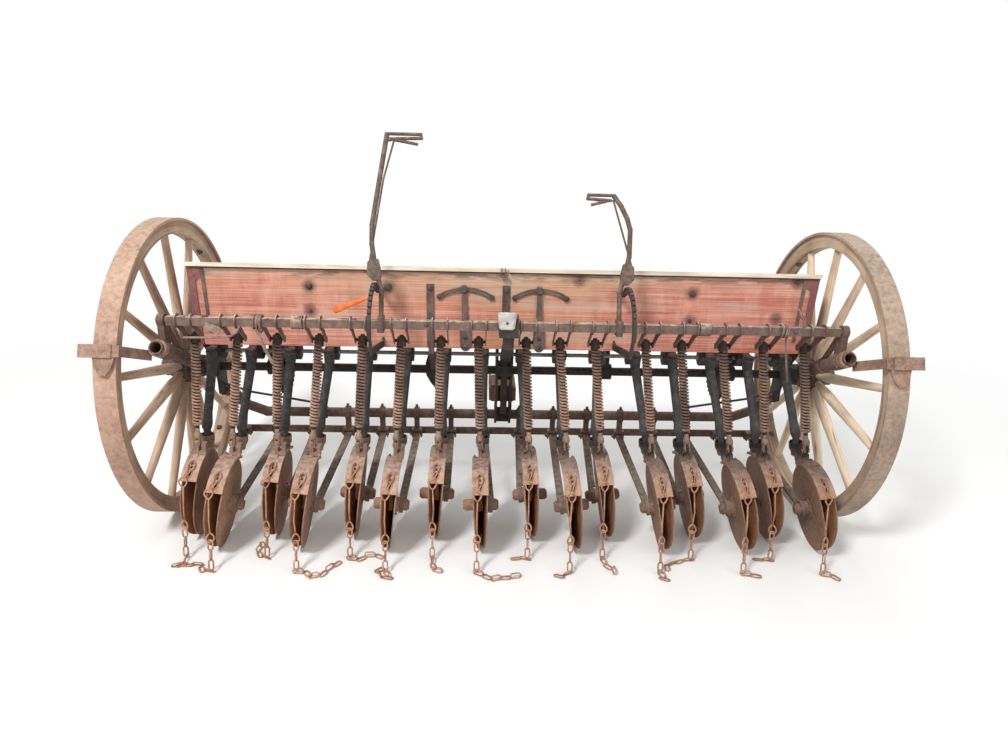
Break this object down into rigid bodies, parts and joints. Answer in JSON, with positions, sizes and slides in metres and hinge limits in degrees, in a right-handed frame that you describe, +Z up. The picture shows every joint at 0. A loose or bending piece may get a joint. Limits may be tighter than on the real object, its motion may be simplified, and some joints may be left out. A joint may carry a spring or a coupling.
{
  "type": "horse-drawn seed drill with sixteen double-disc openers",
  "caption": "Old horse-drawn grain drill: spoked wheels, red wooden hopper, pressure bars and sprung double-disc openers.",
  "frame": {"origin": "on the ground under the middle of the axle", "axes": "+Y the way the drill travels, +X to the right seen from behind along the axle, +Z up"},
  "size_m": [2.899, 1.234, 1.5656],
  "materials": {
    "tyre_steel": "weathered",
    "rim_wood": "weathered",
    "spoke_wood": "weathered",
    "hub_iron": "weathered",
    "strap_iron": "weathered",
    "lid_wood": "weathered",
    "cast_paint": "weathered",
    "bare_wood": "weathered",
    "red_paint": "weathered",
    "tube_steel": "weathered",
    "disc_rust": "weathered",
    "boot_rust": "weathered",
    "chain_rust": "weathered",
    "spring_rust": "weathered",
    "bar_rust": "weathered",
    "lever_iron": "weathered",
    "black_iron": "weathered",
    "pipe_rust": "weathered",
    "axle_steel": "weathered",
    "shaft_steel": "weathered"
  },
  "bodies": {
    "frame": {"axle": "axle_steel", "side_castings": "black_iron", "side_pipes": "pipe_rust", "bar_arms": "bar_rust", "centre_post": "black_iron", "axle_hangers": "black_iron", "cross_pipe": "pipe_rust", "truss_rods": "black_iron", "drag_clamps": "bar_rust", "drag_rail": "bar_rust", "tongue_stub": "bare_wood", "scrapers": "bar_rust", "hopper_back": "red_paint", "hopper_front": "red_paint", "hopper_floor": "bare_wood", "hopper_ends": "cast_paint", "lid_hinges": "strap_iron", "feed_cups": "black_iron", "feed_shaft": "shaft_steel", "feed_gears": "black_iron", "quadrants": "black_iron", "index_plates": "strap_iron", "seed_tubes_left": "tube_steel", "seed_tubes_right": "tube_steel"},
    "lid_left_panel": {"lid_left": "lid_wood"},
    "wheel_left": {"tyre_left": "tyre_steel", "rim_left": "rim_wood", "spokes_left": "spoke_wood", "hub_left": "hub_iron"},
    "lift_left": {"bar_left": "bar_rust", "lever_left": "lever_iron"},
    "gang_left": {"discs_left": "disc_rust", "boots_left": "boot_rust", "drag_bars_left": "bar_rust", "chains_left": "chain_rust"},
    "rods_left": {"springs_left": "spring_rust"},
    "lid_right_panel": {"lid_right": "lid_wood"},
    "wheel_right": {"tyre_right": "tyre_steel", "rim_right": "rim_wood", "spokes_right": "spoke_wood", "hub_right": "hub_iron"},
    "lift_right": {"bar_right": "bar_rust", "lever_right": "lever_iron"},
    "gang_right": {"discs_right": "disc_rust", "boots_right": "boot_rust", "drag_bars_right": "bar_rust", "chains_right": "chain_rust"},
    "rods_right": {"springs_right": "spring_rust"}
  },
  "joints": [
    {"name": "wheel_left_turn", "type": "hinge", "parent": "frame", "child": "wheel_left", "pos_m": [-1.3455, 0, 0.61], "axis": [1, 0, 0], "continuous": true},
    {"name": "lid_left_open", "type": "hinge", "parent": "frame", "child": "lid_left_panel", "pos_m": [-0.61, 0.176, 0.98854], "axis": [-1, 0, 0], "range_deg": [0, 100]},
    {"name": "lift_left", "type": "hinge", "parent": "frame", "child": "lift_left", "pos_m": [-0.45, -0.38, 0.903], "axis": [1, 0, 0], "range_deg": [0, 41]},
    {"name": "gang_left_rise", "type": "hinge", "parent": "frame", "child": "gang_left", "pos_m": [-0.61, 0.06, 0.282], "axis": [-1, 0, 0], "range_deg": [0, 11], "deforming": ["seed_tubes_left"]},
    {"name": "rods_left_swing", "type": "hinge", "parent": "gang_left", "child": "rods_left", "pos_m": [-0.61, -0.33, 0.4], "axis": [1, 0, 0], "range_deg": [0, 10.2]},
    {"name": "wheel_right_turn", "type": "hinge", "parent": "frame", "child": "wheel_right", "pos_m": [1.3455, 0, 0.61], "axis": [1, 0, 0], "continuous": true},
    {"name": "lid_right_open", "type": "hinge", "parent": "frame", "child": "lid_right_panel", "pos_m": [0.61, 0.176, 0.98854], "axis": [-1, 0, 0], "range_deg": [0, 100]},
    {"name": "lift_right", "type": "hinge", "parent": "frame", "child": "lift_right", "pos_m": [0.45, -0.38, 0.903], "axis": [1, 0, 0], "range_deg": [0, 41]},
    {"name": "gang_right_rise", "type": "hinge", "parent": "frame", "child": "gang_right", "pos_m": [0.61, 0.06, 0.282], "axis": [-1, 0, 0], "range_deg": [0, 11], "deforming": ["seed_tubes_right"]},
    {"name": "rods_right_swing", "type": "hinge", "parent": "gang_right", "child": "rods_right", "pos_m": [0.61, -0.33, 0.4], "axis": [1, 0, 0], "range_deg": [0, 10.2]}
  ],
  "couplings": [
    {"joint": "gang_left_rise", "follows": "lift_left", "ratio": 0.26829},
    {"joint": "rods_left_swing", "follows": "lift_left", "ratio": 0.24878},
    {"joint": "gang_right_rise", "follows": "lift_right", "ratio": 0.26829},
    {"joint": "rods_right_swing", "follows": "lift_right", "ratio": 0.24878}
  ]
}
